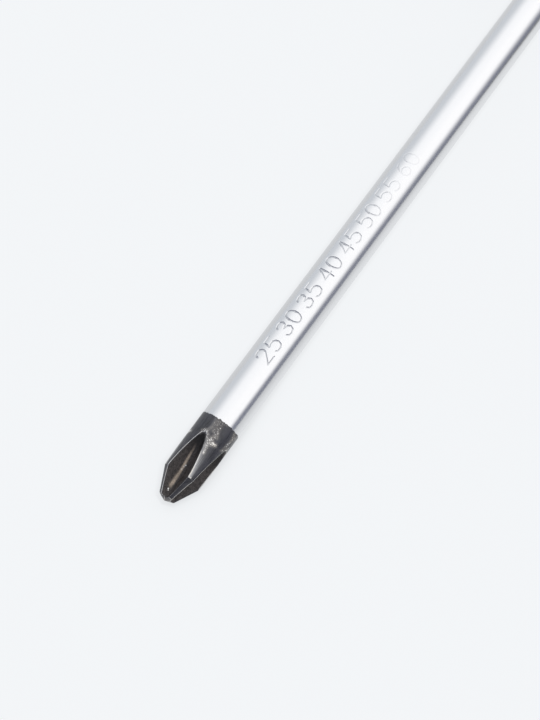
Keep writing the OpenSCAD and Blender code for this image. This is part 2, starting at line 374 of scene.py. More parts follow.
def blade_material(s):
    """Satin chrome, and on the tip a black finish, matt in the flutes and rubbed to specks of bare steel.

    The mesh's fields say where it is worn, scuffed, hollow or engraved, where painted shade darkens it and
    where a painted sheen, partly bare metal, lightens it. Noise breaks them up.
    """
    material, tree, shader = start_material("blade_chrome_and_black")
    coords = place_of(tree)
    x = add(tree, "ShaderNodeSeparateXYZ", {0: coords}).outputs[0]
    fine = grain(tree, coords, 2300.0, 4.0, 0.6)
    coarse = grain(tree, place_of(tree, shift=(0.02, 0.05, 0.01)), 620.0, 4.0, 0.6)
    speck = grain(tree, place_of(tree, shift=(0.03, 0.01, 0.02)), 6200.0, 2.0, 0.7)
    drawn = grain(tree, place_of(tree, (330.0, 2300.0, 2300.0)), 1.0, 4.0, 0.65)
    edge, soft, ragged = (TIP_X + s.black_len) * MM, 0.00004, 0.0005
    wander = times(tree, minus(tree, fine, 0.5), ragged)
    black = between(tree, plus(tree, x, wander), edge - soft, edge + soft, 1.0, 0.0)

    line = plus(tree, field(tree, "worn"), times(tree, coarse, 0.5))
    line = between(tree, line, 0.62, 1.10, 0.0, 0.9)
    scuff = field(tree, "scuff")
    speckle = plus(tree, speck, times(tree, scuff, 0.40))
    rub = times(tree, between(tree, speckle, 0.75, 0.93), between(tree, scuff, 0.0, 0.6, 0.25, 1.0))
    bare = most(tree, line, rub)
    haze = times(tree, between(tree, scuff, 0.08, 0.60), between(tree, fine, 0.28, 0.70, 0.55, 1.0))
    hollow = field(tree, "hollow")
    floor = times(tree, field(tree, "floor"), between(tree, fine, 0.30, 0.62, 0.55, 1.0))
    sheen = times(tree, field(tree, "sheen"), 0.90)

    cloud = plus(tree, times(tree, coarse, 0.35), times(tree, speck, 0.25), times(tree, drawn, 0.40))
    land = blend(tree, between(tree, cloud, 0.36, 0.64), dim(s.black, 0.60), dim(s.black, 1.45))
    pits = plus(tree, times(tree, fine, 0.5), times(tree, speck, 0.5))
    well = blend(tree, between(tree, pits, 0.38, 0.62), dim(s.soot, 0.45), dim(s.soot, 1.4))
    dull = blend(tree, hollow, land, well)
    # Painted shade: darker towards the far, narrow end of each flute, and a little on the tapered faces.
    dull = blend(tree, times(tree, field(tree, "grime"), 0.9), dull, s.grime)
    dull = blend(tree, times(tree, haze, 0.9), dull, s.haze)
    # Painted sheen, partly wear: blends to bare metal beside a wing's first edge, standing in for the light
    # off a rounded edge.
    dull = blend(tree, sheen, dull, dim(s.bare, 0.85))
    dull = blend(tree, floor, dull, s.rust)
    tarnished = tuple(c * share for c, share in zip(s.bare, (0.86, 0.82, 0.76)))
    steel = blend(tree, between(tree, coarse, 0.35, 0.65), s.bare, tarnished)
    dull = blend(tree, bare, dull, steel)
    plate = blend(tree, times(tree, field(tree, "mark"), 0.32), s.chrome, s.engraving)

    metal = most(tree, bare, times(tree, haze, 0.85), most(tree, sheen, times(tree, hollow, 0.25)))
    metal = most(tree, metal, minus(tree, 1.0, black))
    satin = between(tree, fine, 0.2, 0.8, 0.17, 0.23)
    matt = blend_value(tree, hollow, between(tree, drawn, 0.3, 0.7, 0.24, 0.36), 0.55)
    matt = blend_value(tree, bare, matt, 0.36)
    feed(tree, shader, {
        "Base Color": blend(tree, black, plate, dull),
        "Metallic": metal,
        "Roughness": blend_value(tree, black, satin, matt),
        "Normal": relief(tree, times(tree, fine, black), 0.00004),
    })
    return material


def plated_material(s):
    """Satin chrome plate with faint drawing marks along the flats and brighter worn corners."""
    material, tree, shader = start_material("bolster_chrome")
    marks = grain(tree, place_of(tree, (60.0, 2600.0, 2600.0)), 1.0)
    feed(tree, shader, {
        "Base Color": blend(tree, field(tree, "worn"), s.plated, s.plated_worn),
        "Metallic": 1.0,
        "Roughness": between(tree, marks, 0.2, 0.8, 0.16, 0.27),
        "Normal": relief(tree, marks, 0.000012),
    })
    return material


def turned_metal(name, colour, low, high, stain):
    """Turned metal: fine rings round the axis in the gloss and the relief, and a faint cloudy stain.

    The roughness goes from low to high, and the stain takes its share off the colour.
    """
    material, tree, shader = start_material(name)
    rings = grain(tree, place_of(tree, (9000.0, 70.0, 70.0)), 1.0, 2.0)
    cloud = grain(tree, place_of(tree), 190.0, 2.0, 0.5)
    feed(tree, shader, {
        "Base Color": blend(tree, between(tree, cloud, 0.35, 0.7), colour, dim(colour, 1.0 - stain)),
        "Metallic": 1.0,
        "Roughness": between(tree, rings, 0.25, 0.75, low, high),
        "Normal": relief(tree, rings, 0.00001),
    })
    return material


def wood_material(s):
    """Lacquered wood: growth rings about a pith beside the axis, long fibres, dark flecks and clear coat."""
    material, tree, shader = start_material("handle_lacquered_wood")
    rings_per_metre, waver = 640.0, 0.006
    wander = grain(tree, place_of(tree, (14.0, 60.0, 60.0)), 1.0, 2.0)
    pith = place_of(tree, (0.10, 1.0, 1.0), (0.02, 0.03, 0.0), (0.0, 0.019, 0.031))
    sideways = add(tree, "ShaderNodeCombineXYZ", {1: wander, 2: wander}).outputs[0]
    shaken = vector(tree, "ADD", {0: pith, 1: vector(tree, "SCALE", {0: sideways, 3: waver})[0]})[0]
    away = vector(tree, "LENGTH", {0: vector(tree, "MULTIPLY", {0: shaken, 1: (0.0, 1.0, 1.0)})[0]})[1]
    ring = calc(tree, "FRACT", times(tree, away, rings_per_metre))
    late = times(tree, between(tree, ring, 0.20, 0.80), between(tree, ring, 1.0, 0.80))
    fibre = grain(tree, place_of(tree, (55.0, 2400.0, 2400.0)), 1.0, 4.0, 0.65)
    streak = grain(tree, place_of(tree, (22.0, 420.0, 420.0)), 1.0, 3.0, 0.6)
    fleck = between(tree, grain(tree, place_of(tree, (330.0, 2600.0, 2600.0)), 1.0, 1.0), 0.66, 0.74)
    tone = plus(tree, times(tree, late, 0.42), times(tree, streak, 0.62))
    tone = plus(tree, tone, times(tree, minus(tree, fibre, 0.5), 0.5))
    colour = blend(tree, between(tree, tone, 0.1, 0.95), s.wood_pale, s.wood_dark)
    feed(tree, shader, {
        "Base Color": blend(tree, times(tree, fleck, 0.55), colour, dim(s.wood_dark, 0.55)),
        "Roughness": between(tree, fibre, 0.2, 0.8, 0.38, 0.52),
        "Coat Weight": 0.6,
        "Coat Roughness": 0.10,
        "Normal": relief(tree, minus(tree, fibre, times(tree, fleck, 0.6)), 0.00003),
    })
    return material


def leather_material(s):
    """Leather: pores and creases on the flat face, and packed fibres as thin layers on the cut edge."""
    material, tree, shader = start_material("cap_leather")
    edge = field(tree, "edge")
    layers = grain(tree, place_of(tree, (5200.0, 210.0, 210.0)), 1.0, 4.0, 0.65)
    mottle = grain(tree, place_of(tree), 330.0, 4.0, 0.6)
    cells = {"Vector": place_of(tree), "Scale": 1500.0}
    pores = add(tree, "ShaderNodeTexVoronoi", cells, feature="DISTANCE_TO_EDGE").outputs[0]
    crease = between(tree, pores, 0.0, 0.16)
    face = blend(tree, between(tree, mottle, 0.3, 0.7), s.hide, dim(s.hide, 0.62))
    face = blend(tree, crease, dim(s.hide, 0.45), face)
    cut = blend(tree, between(tree, layers, 0.3, 0.7), s.cut, dim(s.cut, 0.42))
    each = grain(tree, place_of(tree, (240.0, 8.0, 8.0)), 1.0, 0.0)
    cut = blend(tree, between(tree, each, 0.40, 0.62, 0.0, 0.55), cut, dim(s.cut, 0.45))
    feed(tree, shader, {
        "Base Color": blend(tree, edge, face, cut),
        "Roughness": blend_value(tree, edge, between(tree, mottle, 0.3, 0.7, 0.45, 0.62), 0.62),
        "Normal": relief(tree, blend_value(tree, edge, crease, layers), 0.00009, 0.6),
    })
    return material


class SCREWDRIVER_OT_blade(bpy.types.Operator):
    """Makes the blade: tip, shank, tang and riveted head in one surface"""

    bl_idname = "screwdriver.blade"
    bl_label = "Blade"

    # Each digit as one stroke, given by its corners on a cell that is 0.62 wide and 1 tall.
    DIGITS = {
        "0": [(0.31 + 0.31 * math.sin(0.314159 * i), 0.5 + 0.5 * math.cos(0.314159 * i)) for i in range(21)],
        "2": [
            (0.02, 0.74), (0.06, 0.88), (0.17, 0.97), (0.31, 1.0), (0.46, 0.97), (0.57, 0.86), (0.60, 0.72),
            (0.55, 0.58), (0.0, 0.0), (0.62, 0.0),
        ],
        "3": [
            (0.03, 0.80), (0.12, 0.94), (0.30, 1.0), (0.48, 0.95), (0.57, 0.80), (0.50, 0.62), (0.27, 0.54),
            (0.52, 0.46), (0.61, 0.28), (0.52, 0.08), (0.31, 0.0), (0.11, 0.05), (0.01, 0.20),
        ],
        "4": [(0.46, 0.0), (0.46, 1.0), (0.0, 0.30), (0.62, 0.30)],
        "5": [
            (0.57, 1.0), (0.10, 1.0), (0.05, 0.55), (0.20, 0.63), (0.40, 0.62), (0.56, 0.50), (0.61, 0.31),
            (0.54, 0.11), (0.36, 0.0), (0.16, 0.02), (0.02, 0.13),
        ],
        "6": [
            (0.53, 0.97), (0.30, 0.88), (0.10, 0.62), (0.01, 0.32), (0.10, 0.08), (0.31, 0.0), (0.52, 0.09),
            (0.61, 0.30), (0.52, 0.51), (0.31, 0.60), (0.11, 0.50), (0.02, 0.34),
        ],
    }
    # Worn strokes of one wing: start and end in mm from the tip and degrees from the wing, width, strength.
    SCUFFS = np.array([
        (9.9, -56.0, 10.4, -52.0, 0.22, 0.55), (10.4, -52.0, 10.75, -45.0, 0.34, 0.80),
        (10.75, -45.0, 10.3, -36.0, 0.30, 0.75), (10.3, -36.0, 9.7, -32.0, 0.25, 0.60),
        (9.3, -20.0, 9.7, -1.0, 0.38, 0.85), (9.6, -10.0, 10.1, -21.0, 0.42, 0.80),
        (9.9, -24.0, 8.8, -19.0, 0.40, 0.75), (8.8, -19.0, 7.9, -15.0, 0.28, 0.85),
        (10.1, -21.0, 11.1, -15.0, 0.36, 0.62), (10.6, -10.5, 11.4, -17.4, 0.32, 0.72),
        (11.4, -17.4, 11.9, -19.0, 0.32, 0.60), (11.9, -19.0, 12.9, -21.0, 0.48, 0.42),
        (9.52, -11.0, 9.66, -9.0, 0.27, 1.40), (12.6, -38.0, 11.5, -37.0, 0.30, 0.46),
        (12.7, -33.5, 12.0, -36.5, 0.24, 0.40), (11.5, -37.0, 10.75, -41.0, 0.30, 0.55),
        (4.05, -7.5, 4.15, -2.5, 0.13, 1.10),
        (12.8, 27.0, 12.0, 33.6, 0.44, 0.62), (12.7, 44.0, 12.0, 36.0, 0.40, 0.55),
        (12.0, 33.6, 10.9, 31.0, 0.38, 0.68), (10.9, 31.0, 9.9, 26.7, 0.34, 0.70),
        (9.9, 26.7, 9.6, 19.2, 0.22, 0.60), (0.0, -45.0, 0.2, 45.0, 0.45, 0.50),
        (12.75, -36.0, 12.85, -5.0, 0.26, 0.36), (11.2, -28.0, 12.6, -30.0, 0.50, 0.52),
    ])
    # How strong those strokes are on the left and the right half of each wing.
    WING_WEAR = ((0.8, 0.8), (0.9, 0.25), (1.0, 1.0), (0.75, 0.6))
    # Bright specks on the floor of a flute: mm from the tip, mm aside, radius and strength.
    SPECKS = np.array([
        (5.40, -0.02, 0.13, 1.2), (5.12, -0.14, 0.10, 1.2), (4.72, -0.21, 0.11, 1.2),
        (1.55, -0.24, 0.13, 1.2), (1.36, -0.12, 0.11, 1.1),
    ])
    # Values along the tip, as mm from the tip and the value there. A wing's first edge follows a flute.
    FIRST_EDGE = ((0.6, 3.8, 3.95, 4.1, 7.2, 8.4, 9.8), (0.62, 0.62, 0.50, 1.25, 1.15, 0.35, 0.60))
    SECOND_EDGE = ((3.8, 4.2, 6.0, 9.0, 10.0), (1.0, 0.92, 0.86, 0.82, 0.86))
    FIRST_WIDTH = ((4.0, 4.2, 7.5, 8.5), (0.06, 0.15, 0.10, 0.07))
    SECOND_WIDTH = 0.085
    # SHEEN is the strength of the painted sheen beside a wing's first edge: partly worn bare metal, partly a
    # painted highlight.
    SHEEN = ((4.02, 4.12, 7.0, 9.8), (0.0, 1.0, 0.78, 0.15))
    STRIP_HALF = ((1.0, 3.0, 5.0, 7.0), (0.27, 0.24, 0.19, 0.13))
    STRIP_MIDDLE = ((1.0, 4.0, 8.0), (-0.20, -0.19, -0.30))
    # Share of the numbers' depth that is left along the shank.
    MARK_SHARE = ((38.0, 50.0, 62.0), (1.0, 0.8, 0.35))
    MARK_ROWS = 48
    MARK_COLUMNS = 48
    UNDER_COLUMNS = 32

    @staticmethod
    def envelope(s, q):
        """Radius before the flutes are cut: the least of blunt cone, wing taper and shank, blended.

        Also the distances from the end at which the taper and the shank start.
        """
        point_len = s.point_r * math.tan(math.radians(s.point_slope))
        break_q = point_len + (s.shank_r - s.point_r) / math.tan(math.radians(s.taper))
        blunt = q / math.tan(math.radians(s.point_slope))
        taper = s.point_r + (q - point_len) * math.tan(math.radians(s.taper))
        outer = smooth_min(smooth_min(blunt, taper, 0.06), np.full_like(q, s.shank_r), 0.05)
        return np.maximum(outer, 0.0), point_len, break_q

    @staticmethod
    def flute_miss(s, q, r, psi):
        """How far a point at radius r, q from the tip and psi from the flute, lies outside the flute's wheel.

        The wheel's rim is floor_half wide on each side and widens by the flank's slope towards the hub.
        """
        a = np.radians(psi)
        aside = r * np.sin(a) - s.floor_half
        aside = (aside + np.sqrt(aside * aside + 0.09**2)) / 2.0
        reach = s.wheel_r - aside / math.tan(math.radians(s.flank / 2.0))
        depth = np.sqrt(np.maximum(reach**2 - (q - s.wheel_at) ** 2, 0.0))
        return r * np.cos(a) - s.core_r - s.wheel_r + depth

    @classmethod
    def flute_radius(cls, s, q, psi):
        """Radius of the flute's surface along psi, by halving the range that holds it."""
        low = np.zeros(np.broadcast(q, psi).shape)
        high = np.full_like(low, 9.0)
        for _ in range(40):
            middle = (low + high) / 2.0
            inside = cls.flute_miss(s, q, middle, psi) < 0.0
            low, high = np.where(inside, middle, low), np.where(inside, high, middle)
        return (low + high) / 2.0

    @classmethod
    def flute_edge(cls, s, q, outer):
        """Angle from the middle of a flute to its edge, where the flute meets the outer radius."""
        low, high = np.zeros_like(q), np.full_like(q, 45.0)
        for _ in range(40):
            middle = (low + high) / 2.0
            cut = cls.flute_miss(s, q, outer, middle) > 0.0
            low, high = np.where(cut, middle, low), np.where(cut, high, middle)
        return low

    @staticmethod
    def near(along, across, strokes):
        """Distance of each place on the shank to each of some straight strokes, each a row x0 y0 x1 y1."""
        x0, y0, x1, y1 = (strokes[:, i, None, None] for i in range(4))
        dx, dy = x1 - x0, y1 - y0
        part = np.clip(((along - x0) * dx + (across - y0) * dy) / (dx * dx + dy * dy), 0.0, 1.0)
        return np.hypot(along - x0 - part * dx, across - y0 - part * dy)

    @classmethod
    def number_strokes(cls, s, value):
        """Strokes of a depth number, whose middle is that many mm from the tip."""
        size, width = s.digit_h, 0.88 * s.digit_h
        strokes = []
        for place, digit in enumerate(str(value)):
            left = value - (width + 0.62 * size) / 2.0 + place * width
            corner = np.array(cls.DIGITS[digit]) * size + (left, 0.0)
            strokes += [(*a, *b) for a, b in zip(corner[:-1], corner[1:])]
        return np.array(strokes)

    @classmethod
    def rows(cls, numbers, half_w):
        """Distances from the end, close together where the flutes, the worn edges and the numbers are."""
        lettered = (numbers[:, None] + np.linspace(-half_w, half_w, cls.MARK_ROWS)).ravel()
        free = -TIP_X
        return np.concatenate([
            np.linspace(0.0, 0.28, 5), np.linspace(0.31, 0.74, 16), np.linspace(0.8, 3.86, 42),
            np.linspace(3.90, 4.18, 12), np.linspace(4.24, 9.6, 66), np.linspace(9.65, 11.2, 34),
            np.linspace(11.3, 17.4, 46), np.linspace(18.0, numbers[0] - half_w - 0.3, 4), lettered,
            np.linspace(lettered[-1] + 0.3, free - 0.3, 12), [free - 0.1, free - 0.02, free],
        ])[:, None]

    @classmethod
    def columns(cls, s, q, rim, apex):
        """Turn of each column about the axis, in degrees, at each distance q.

        On the tip the columns gather at the edges of the flutes: half a quarter and its mirror image, four
        times. Behind it they turn over to a plain spacing that is closer where the numbers are.
        """
        opened = 24.0 * smooth_step((q - apex + 0.15) / 1.8)
        corner = np.maximum(np.maximum(rim, opened), 3.0)
        within = np.array([0, 0.13, 0.27, 0.42, 0.57, 0.71, 0.83, 0.91, 0.96, 0.985])
        beyond = np.array([0, 0.03, 0.09, 0.19, 0.34, 0.53, 0.76, 1.0])
        psi = np.concatenate([corner * within, corner + (45.0 - corner) * beyond], axis=1)
        quarter = np.concatenate([psi, (90.0 - psi)[:, -2:0:-1]], axis=1)
        ground = np.concatenate([quarter + 90.0 * k for k in range(4)], axis=1) + s.roll
        top, foot = s.mark_at - np.degrees((s.digit_h + 0.14) / s.shank_r), s.mark_at + 3.0
        rest = ground.shape[1] - cls.MARK_COLUMNS - cls.UNDER_COLUMNS
        marked, under = (top, foot, cls.MARK_COLUMNS), (foot, s.roll + 360.0, cls.UNDER_COLUMNS)
        even = spread((s.roll, top, rest), marked, under)
        return ground + (even - ground) * smooth_step((q - apex - 0.6) / 6.0)

    @classmethod
    def scuffs(cls, s, q, turn):
        """The worn strokes on all four wings, each fading from its middle line as a bell curve."""
        scuff = np.zeros_like(turn)
        scale = math.radians(1.0) * s.shank_r
        strokes = cls.SCUFFS[:, :4] * (1.0, scale, 1.0, scale)
        for wing, (left, right) in enumerate(cls.WING_WEAR):
            centre = s.roll + 45.0 + 90.0 * wing
            away = np.mod(turn - centre + 180.0, 360.0) - 180.0
            gap = cls.near(q, away * scale, strokes) / cls.SCUFFS[:, 4, None, None]
            strength = cls.SCUFFS[:, 5] * np.where(cls.SCUFFS[:, 1] > 0.0, right, left)
            mark = np.max(strength[:, None, None] * np.exp(-gap * gap), axis=0)
            scuff = np.maximum(scuff, mark)
        return scuff

    @classmethod
    def wear(cls, s, q, turn, psi, rim, apex, flute, side):
        """The fields of the black finish, from the gap to a wing's edge and the place on the tip.

        worn fades from edges and specks as a bell curve, sheen is a painted sheen, partly bare metal, that
        fades from a wing's first edge, floor is the rubbed strip of a flute, hollow is 1 inside a flute, and
        the painted shade grows towards the flute's far end and lies a little on the tapered faces.
        """
        outer, point_len, break_q = cls.envelope(s, q)
        cut, uncut = flute < outer, flute > outer
        land = uncut.astype(float)
        first = np.mod(turn - s.roll, 90.0) < 45.0
        rubbed = np.where(first, np.interp(q, *cls.FIRST_EDGE), np.interp(q, *cls.SECOND_EDGE))
        width = np.where(first, np.interp(q, *cls.FIRST_WIDTH), cls.SECOND_WIDTH)
        gap = np.where(uncut, np.radians(np.maximum(psi - rim, 0.0)) * outer, outer - side)
        worn = rubbed * np.exp(-((gap / width) ** 2)) * (q < apex + 0.2)
        for strength, place, half in ((0.55, break_q, 0.10), (0.60, point_len, 0.12)):
            worn = np.maximum(worn, strength * land * np.exp(-(((q - place) / half) ** 2)))
        # Painted sheen, partly wear: bare metal that fades from a wing's first edge, standing in for the
        # light off a rounded edge.
        sheen = np.interp(q, *cls.SHEEN) * first * land * np.exp(-gap / 0.42)
        aside = side * np.sin(np.radians(np.mod(turn - s.roll + 45.0, 90.0) - 45.0))
        off_strip = (aside - np.interp(q, *cls.STRIP_MIDDLE)) / np.interp(q, *cls.STRIP_HALF)
        floor = np.exp(-(off_strip**4)) * cut
        floor = floor * smooth_step((apex - 1.6 - q) / 3.0) * smooth_step((q - 1.5) / 0.9)
        hollow = smooth_step((outer - flute) / 0.22)
        # Painted shade: grows towards the far end of each flute, where it closes, plus a little on the
        # tapered faces.
        grime = hollow * smooth_step((q - 6.2) / (apex - 7.0)) + 0.20 * land * (q > point_len) * (q < break_q)
        tip = q[:, 0] < s.black_len + 1.0
        scuff = np.zeros_like(side)
        scuff[tip] = cls.scuffs(s, q[tip], turn[tip])
        place = [cls.SPECKS[:, i, None, None] for i in range(4)]
        gap = np.hypot(q[tip] - place[0], aside[tip] - place[1]) / place[2]
        worn[tip] = np.maximum(worn[tip], np.max(place[3] * np.exp(-gap * gap), axis=0) * cut[tip])
        return {
            "worn": worn, "floor": floor, "hollow": hollow, "grime": grime, "scuff": scuff, "sheen": sheen,
        }

    @classmethod
    def engraving(cls, s, q, turn, numbers, half_w):
        """Depth of the numbers from 0 to 1: a soft groove along each stroke, shallower towards the handle."""
        engraved = np.zeros_like(turn)
        across = np.radians(s.mark_at - np.mod(turn, 360.0)) * s.shank_r
        for value in numbers:
            rows = np.abs(q[:, 0] - value) <= half_w
            gap = cls.near(q[rows], across[rows], cls.number_strokes(s, int(value))).min(axis=0)
            engraved[rows] = smooth_step((s.mark_w - gap) / (0.7 * s.mark_w))
        return engraved * np.interp(q, *cls.MARK_SHARE)

    @staticmethod
    def tang(s, turn):
        """The rod behind the shank: a round seat, the hexagon tang, its round end and the domed head.

        The head is the cap of a ball, dented by the sum of two waves.
        """
        ones = np.ones_like(turn)
        flats = hexagon(s.seat_r, turn)
        head_x = CROWN_X - s.head_h
        ball = (s.head_r**2 + s.head_h**2) / (2.0 * s.head_h)
        tilt = np.linspace(math.asin(s.head_r / ball), 0.0, 26)[:, None]
        dome_r = ball * np.sin(tilt)
        blow = np.radians(turn)
        dents = np.abs(np.sin(3.0 * blow + 5.0 * tilt) + np.sin(5.0 * blow - 14.0 * tilt))
        dents = 0.035 * dents * smooth_step((s.head_r - dome_r) / 1.0) * smooth_step(dome_r / 0.5)
        dome_x = head_x + s.head_h - ball + ball * np.cos(tilt) - dents
        seat_x = HANDLE_X[0] - SLIDE_FIT
        path = (
            (0.0, s.seat_r * ones), (seat_x, s.seat_r * ones), (seat_x, flats), (PLATE_X[0], flats),
            (PLATE_X[0], s.rivet_r * ones), (head_x, s.rivet_r * ones), (head_x, (s.head_r - 0.03) * ones),
            (dome_x, dome_r * ones),
        )
        return np.concatenate([around(x, r, turn) for x, r in path])

    def execute(self, context):
        # The radius is the smaller of the envelope and the flute's surface, less the depth of the numbers.
        s = values_of(context.scene.screwdriver_blade)
        numbers = s.mark_from + s.mark_step * np.arange(s.mark_count)
        half_w = 0.75 * s.digit_h + s.mark_w + 0.1
        q = self.rows(numbers, half_w)
        outer = self.envelope(s, q)[0]
        rim = self.flute_edge(s, q, outer)
        apex = q[rim > 0.5].max()
        turn = self.columns(s, q, rim, apex)
        psi = np.abs(np.mod(turn - s.roll + 45.0, 90.0) - 45.0)
        flute = self.flute_radius(s, q, psi)
        side = smooth_min(flute, outer, 0.06)
        side[0] = 0.0
        fields = self.wear(s, q, turn, psi, rim, apex, flute, side)
        fields["mark"] = self.engraving(s, q, turn, numbers, half_w)
        side = side - s.mark_depth * fields["mark"]
        tang = self.tang(s, turn[-1:])
        points = np.concatenate([around(TIP_X + q, side, turn), tang])
        plain = np.zeros(tang.shape[:2])
        fields = {name: np.concatenate([values, plain]) for name, values in fields.items()}
        piece = skin("blade_ground", points, fields=fields)
        finish_piece(piece, blade_material(s), "blade")
        return {"FINISHED"}


class SCREWDRIVER_OT_bolster(bpy.types.Operator):
    """Makes the hexagon bolster with its chamfered ends"""

    bl_idname = "screwdriver.bolster"
    bl_label = "Bolster"

    def execute(self, context):
        # The radius is the smaller of a soft-cornered hexagon and a 30 degree cone that rises from each end.
        s = values_of(context.scene.screwdriver_handle)
        start, end = BOLSTER_X
        size, slope = end - start, math.tan(math.radians(30.0))
        turn = np.arange(0.0, 360.0, 2.0)[None, :]
        aside = np.abs(np.mod(turn, 60.0) - 30.0)
        flat = s.flat_half / np.cos(np.radians(aside))
        hexagon = smooth_min(flat, s.flat_half / np.cos(np.radians(60.0 - aside)), 0.12)
        cut = (s.flat_half / math.cos(math.radians(30.0)) - s.flat_half) * slope
        t = np.concatenate([np.linspace(0.0, cut * 1.4, 14), np.linspace(cut * 1.6, size / 2.0, 6)])
        t = np.concatenate([t, size - t[-2::-1]])[:, None]
        limit = s.flat_half - 0.05 + np.minimum(t, size - t) / slope
        side = smooth_min(hexagon, limit, 0.10)
        bore = np.full_like(turn, s.bolster_bore)
        faces = np.array([s.bolster_bore + 0.12, s.flat_half - 0.6])[:, None] * np.ones_like(turn)
        points = np.concatenate([
            around(start + 0.1, bore, turn), around(start, faces, turn), around(start + t, side, turn),
            around(end, faces[::-1], turn), around(end - 0.1, bore, turn),
        ])
        corners = np.exp(-((30.0 - aside) / 1.6) ** 2) * np.ones_like(t)
        plain = np.zeros((3, turn.size))
        worn = np.concatenate([plain, corners, plain])
        piece = skin("bolster_plated", points, ring=True, fields={"worn": worn})
        finish_piece(piece, plated_material(s), "hex_bolster")
        return {"FINISHED"}


class SCREWDRIVER_OT_ferrule(bpy.types.Operator):
    """Makes the ferrule with its rolled rim, and the pin across it"""

    bl_idname = "screwdriver.ferrule"
    bl_label = "Ferrule and pin"

    @staticmethod
    def cup(s):
        """The ferrule's closed outline, carried round the axis: hole, edge, cone, groove, rim and inside.

        The rim is a circle blended into the cone, and a shallow round recess takes each end of the pin.
        """
        start, end = FERRULE_X
        rim, slope = end - s.ferrule_bead, (s.ferrule_rear - s.ferrule_front) / (end - start)
        hole, wall = s.bolster_bore, s.ferrule_wall
        corner = np.radians(np.linspace(-90.0, -4.0, 14))
        edge_x = start + s.ferrule_edge * (1.0 + np.sin(corner))
        edge_r = s.ferrule_front - s.ferrule_edge * (1.0 - np.cos(corner))
        x = np.concatenate([
            np.linspace(start + s.ferrule_edge + 0.1, PIN_X - 1.3, 8),
            np.linspace(PIN_X - 1.2, PIN_X + 1.2, 41),
            np.linspace(PIN_X + 1.3, rim - 1.6, 6), np.linspace(rim - 1.4, end - 0.004, 40),
        ])
        cone = s.ferrule_front + slope * (x - start)
        rise = np.sqrt(np.maximum(s.ferrule_bead**2 - (x - rim) ** 2, 0.0))
        bead = np.where(np.abs(x - rim) < s.ferrule_bead, s.ferrule_front + slope * (rim - start) + rise, 0.0)
        outside = -smooth_min(-cone, -bead, 0.25)
        groove = 0.12 * np.exp(-(((x - rim + 1.75) / 0.16) ** 2))
        path_x = np.concatenate([
            [start + wall, start + 0.1, start], edge_x, x, [end, end, start + wall],
        ])[:, None]
        path_r = np.concatenate([
            [hole, hole, hole + 0.1], edge_r, outside - groove,
            [outside[-1] - 0.1, s.ferrule_rear - wall, s.ferrule_front - wall],
        ])[:, None]
        turn = spread((82.0, 98.0, 44), (98.0, 262.0, 36), (262.0, 278.0, 44), (278.0, 442.0, 36))
        off_pin = np.hypot(path_x - PIN_X, path_r * np.cos(np.radians(turn)))
        drilled = smooth_step((s.pin_r + 0.10 - off_pin) / 0.09)
        return around(path_x, path_r - 0.5 * drilled, turn)

    @staticmethod
    def pin(s):
        """The pin along Y, whose ends bulge: they fall with the square of the distance from their middle."""
        crown = np.array([0.0, 0.25, 0.5, 0.7, 0.85, 0.95, 1.0])
        half = PIN_REACH - 0.10 * crown**2
        y = np.concatenate([half, -half[::-1]])[:, None]
        r = s.pin_r * np.concatenate([crown, crown[::-1]])[:, None]
        a = np.radians(np.linspace(0.0, 360.0, 48, endpoint=False))[None, ::-1]
        x, r, y, a = np.broadcast_arrays(PIN_X, r, y, a)
        return np.stack([x + r * np.cos(a), y, -r * np.sin(a)], axis=-1) * MM

    def execute(self, context):
        s = values_of(context.scene.screwdriver_handle)
        steel = values_of(context.scene.screwdriver_cap).steel
        piece = skin("ferrule_turned", self.cup(s), ring=True)
        nickel = turned_metal("ferrule_nickel", s.nickel, 0.15, 0.26, 0.12)
        finish_piece(piece, nickel, "ferrule")
        piece = skin("ferrule_pin_ground", self.pin(s))
        bright = turned_metal("pin_steel", steel, 0.28, 0.40, 0.3)
        finish_piece(piece, bright, "ferrule_pin")
        return {"FINISHED"}


